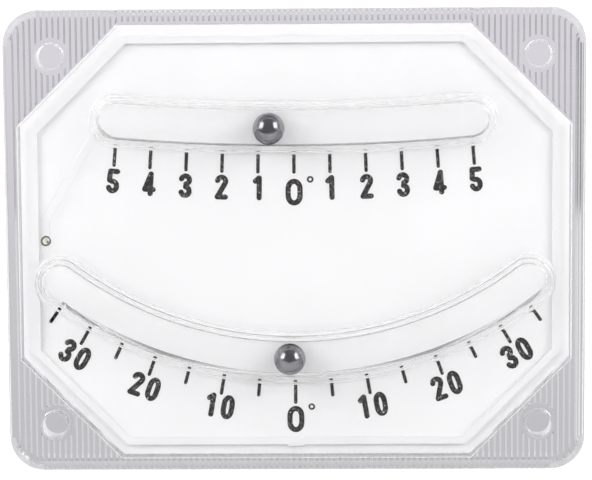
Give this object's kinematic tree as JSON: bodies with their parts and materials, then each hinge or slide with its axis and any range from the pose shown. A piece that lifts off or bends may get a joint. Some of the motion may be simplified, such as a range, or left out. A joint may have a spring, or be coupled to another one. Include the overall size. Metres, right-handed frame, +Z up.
{
  "type": "inclinometer",
  "caption": "Clear wall-mounted ball inclinometer with a white dial plate and arched upper and lower ball tracks over degree scales.",
  "frame": {"origin": "centre of the four screw holes, on the flat back face that lies against the wall", "axes": "+X to the right as seen from the front, +Z up, -Y out of the wall towards the viewer; the flat back faces +Y"},
  "size_m": [0.1, 0.009, 0.08],
  "materials": {
    "clear_plastic": "clear moulded, glossy",
    "white_plastic": "smooth white moulding",
    "steel_ball": "polished dark steel",
    "plug": "dull olive grey",
    "ink": "black screen print"
  },
  "bodies": {
    "housing": {"front_cover": "clear_plastic", "dial_plate": "white_plastic", "fill_plug": "plug", "upper_scale_ink": "ink", "lower_scale_ink": "ink"},
    "upper_ball": {"upper_ball": "steel_ball"},
    "lower_ball": {"lower_ball": "steel_ball"}
  },
  "joints": [
    {"name": "upper_ball_roll", "type": "hinge", "parent": "housing", "child": "upper_ball", "pos_m": [-0.0001, 0, 0.3676], "axis": [0, -1, 0], "range_deg": [-4.3, 5.7]},
    {"name": "lower_ball_roll", "type": "hinge", "parent": "housing", "child": "lower_ball", "pos_m": [-0.0001, 0, 0.04668], "axis": [0, -1, 0], "range_deg": [-36.2, 37.8]}
  ]
}
